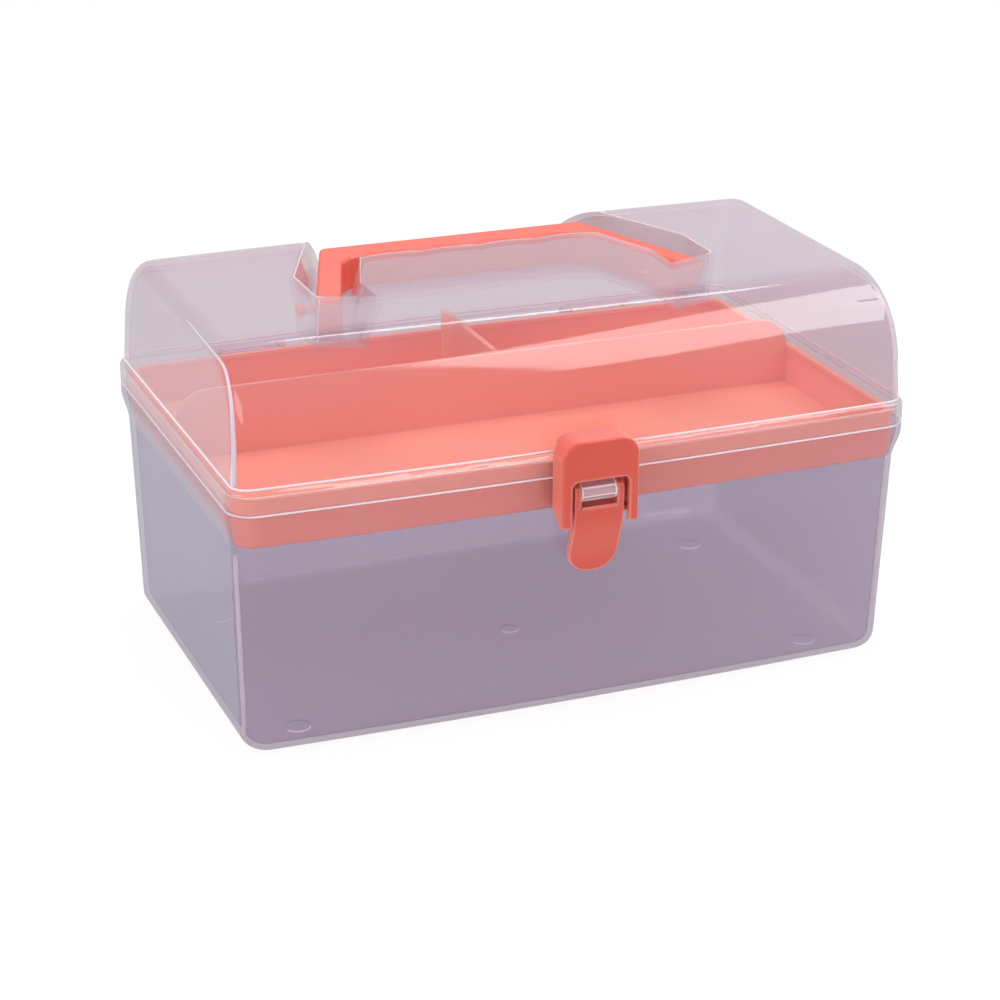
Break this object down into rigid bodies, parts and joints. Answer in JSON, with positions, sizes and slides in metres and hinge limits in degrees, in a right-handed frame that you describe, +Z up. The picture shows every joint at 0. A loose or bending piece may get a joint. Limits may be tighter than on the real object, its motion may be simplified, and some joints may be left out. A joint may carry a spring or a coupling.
{
  "type": "handled storage box",
  "caption": "Clear plastic storage box with a hinged lid, a carrying handle sunk in the lid, a front toggle latch and a divided lift-out tray.",
  "frame": {"origin": "centre of the flat underside of the tub", "axes": "+X along the box's length to the right of the front, +Y from the latch side to the hinge side, +Z up"},
  "size_m": [0.25, 0.173, 0.141],
  "materials": {
    "clear_plastic": "clear gloss",
    "coral_plastic": "gloss"
  },
  "bodies": {
    "tub": {"tub": "clear_plastic"},
    "lid": {"lid": "clear_plastic"},
    "tray": {"tray": "coral_plastic"},
    "handle": {"handle": "coral_plastic"},
    "latch_lever": {"latch_lever": "coral_plastic"},
    "latch_hasp": {"latch_hasp": "coral_plastic"}
  },
  "joints": [
    {"name": "lid_hinge", "type": "hinge", "parent": "tub", "child": "lid", "pos_m": [0, 0.0816, 0.0894], "axis": [-1, 0, 0], "range_deg": [0, 105]},
    {"name": "handle_swing", "type": "hinge", "parent": "lid", "child": "handle", "pos_m": [0, -0.001, 0.1325], "axis": [1, 0, 0], "range_deg": [0, 120]},
    {"name": "lever_pivot", "type": "hinge", "parent": "tub", "child": "latch_lever", "pos_m": [0, -0.083, 0.0849], "axis": [-1, 0, 0], "range_deg": [0, 110]},
    {"name": "hasp_pivot", "type": "hinge", "parent": "latch_lever", "child": "latch_hasp", "pos_m": [0, -0.083, 0.0774], "axis": [-1, 0, 0], "range_deg": [-132, 0]},
    {"name": "tray_lift", "type": "slide", "parent": "tub", "child": "tray", "axis": [0, 0, 1], "range_m": [0, 0.0024]}
  ],
  "couplings": [
    {"joint": "hasp_pivot", "follows": "lever_pivot", "ratio": -1.2}
  ]
}
